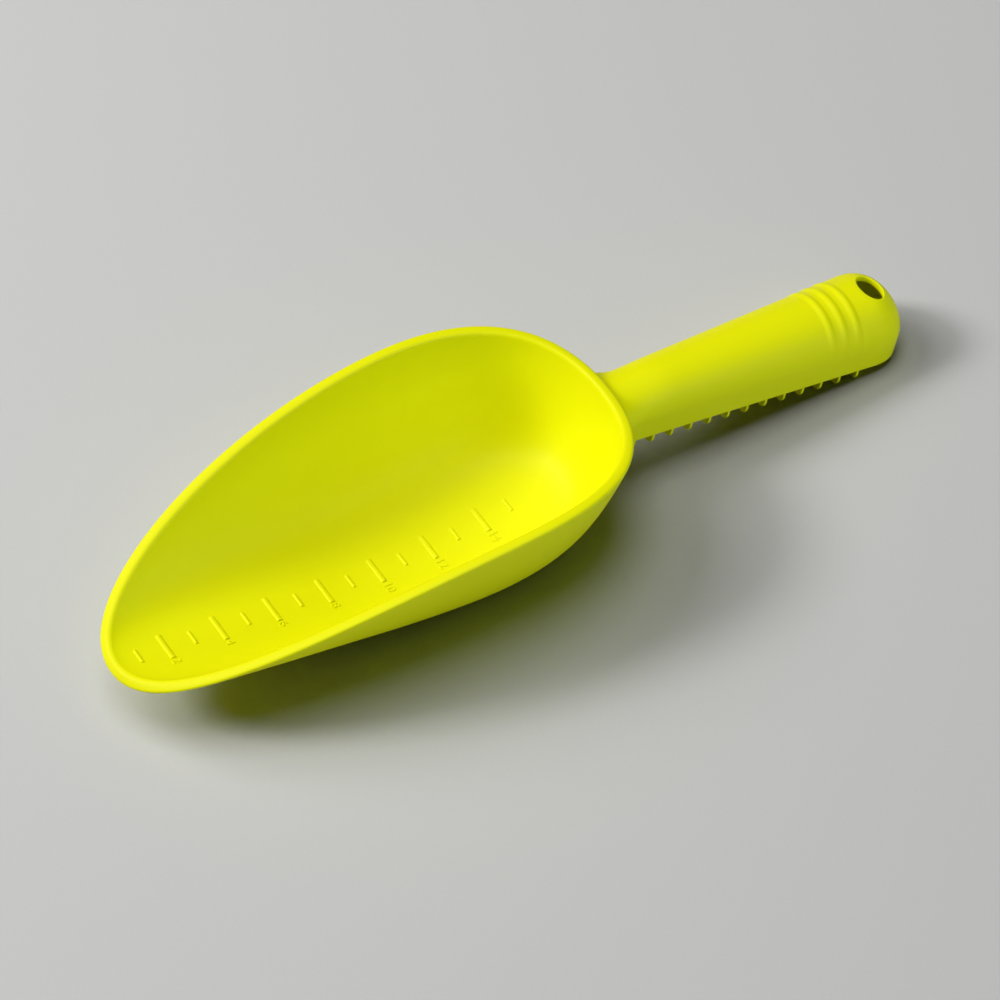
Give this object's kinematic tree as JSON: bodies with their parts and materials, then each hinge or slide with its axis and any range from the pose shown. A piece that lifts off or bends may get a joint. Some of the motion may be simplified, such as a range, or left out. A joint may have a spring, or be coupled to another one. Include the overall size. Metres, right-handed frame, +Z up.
{
  "type": "hand scoop",
  "caption": "One-piece plastic hand scoop with a deep pointed blade, a thick soft-edged rim, a raised depth scale on the floor and a ribbed channel handle with a hang hole.",
  "frame": {"origin": "on the ground under the middle of the scoop, as it lies on its belly and its last rib", "axes": "+X from the tip towards the handle, +Y across the scoop, +Z up"},
  "size_m": [0.304, 0.093, 0.0508],
  "materials": {
    "lime_plastic": "satin"
  },
  "bodies": {
    "root": {"blade": "lime_plastic", "handle_shell": "lime_plastic", "grip_rib_01": "lime_plastic", "grip_rib_02": "lime_plastic", "grip_rib_03": "lime_plastic", "grip_rib_04": "lime_plastic", "grip_rib_05": "lime_plastic", "grip_rib_06": "lime_plastic", "grip_rib_07": "lime_plastic", "grip_rib_08": "lime_plastic", "grip_rib_09": "lime_plastic", "grip_rib_10": "lime_plastic", "grip_rib_11": "lime_plastic", "grip_rib_12": "lime_plastic", "grip_rib_13": "lime_plastic", "depth_mark_01": "lime_plastic", "depth_mark_02": "lime_plastic", "depth_mark_03": "lime_plastic", "depth_mark_04": "lime_plastic", "depth_mark_05": "lime_plastic", "depth_mark_06": "lime_plastic", "depth_mark_07": "lime_plastic", "depth_mark_08": "lime_plastic", "depth_mark_09": "lime_plastic", "depth_mark_10": "lime_plastic", "depth_mark_11": "lime_plastic", "depth_mark_12": "lime_plastic", "depth_mark_13": "lime_plastic", "depth_mark_14": "lime_plastic", "depth_mark_15": "lime_plastic"}
  },
  "joints": []
}
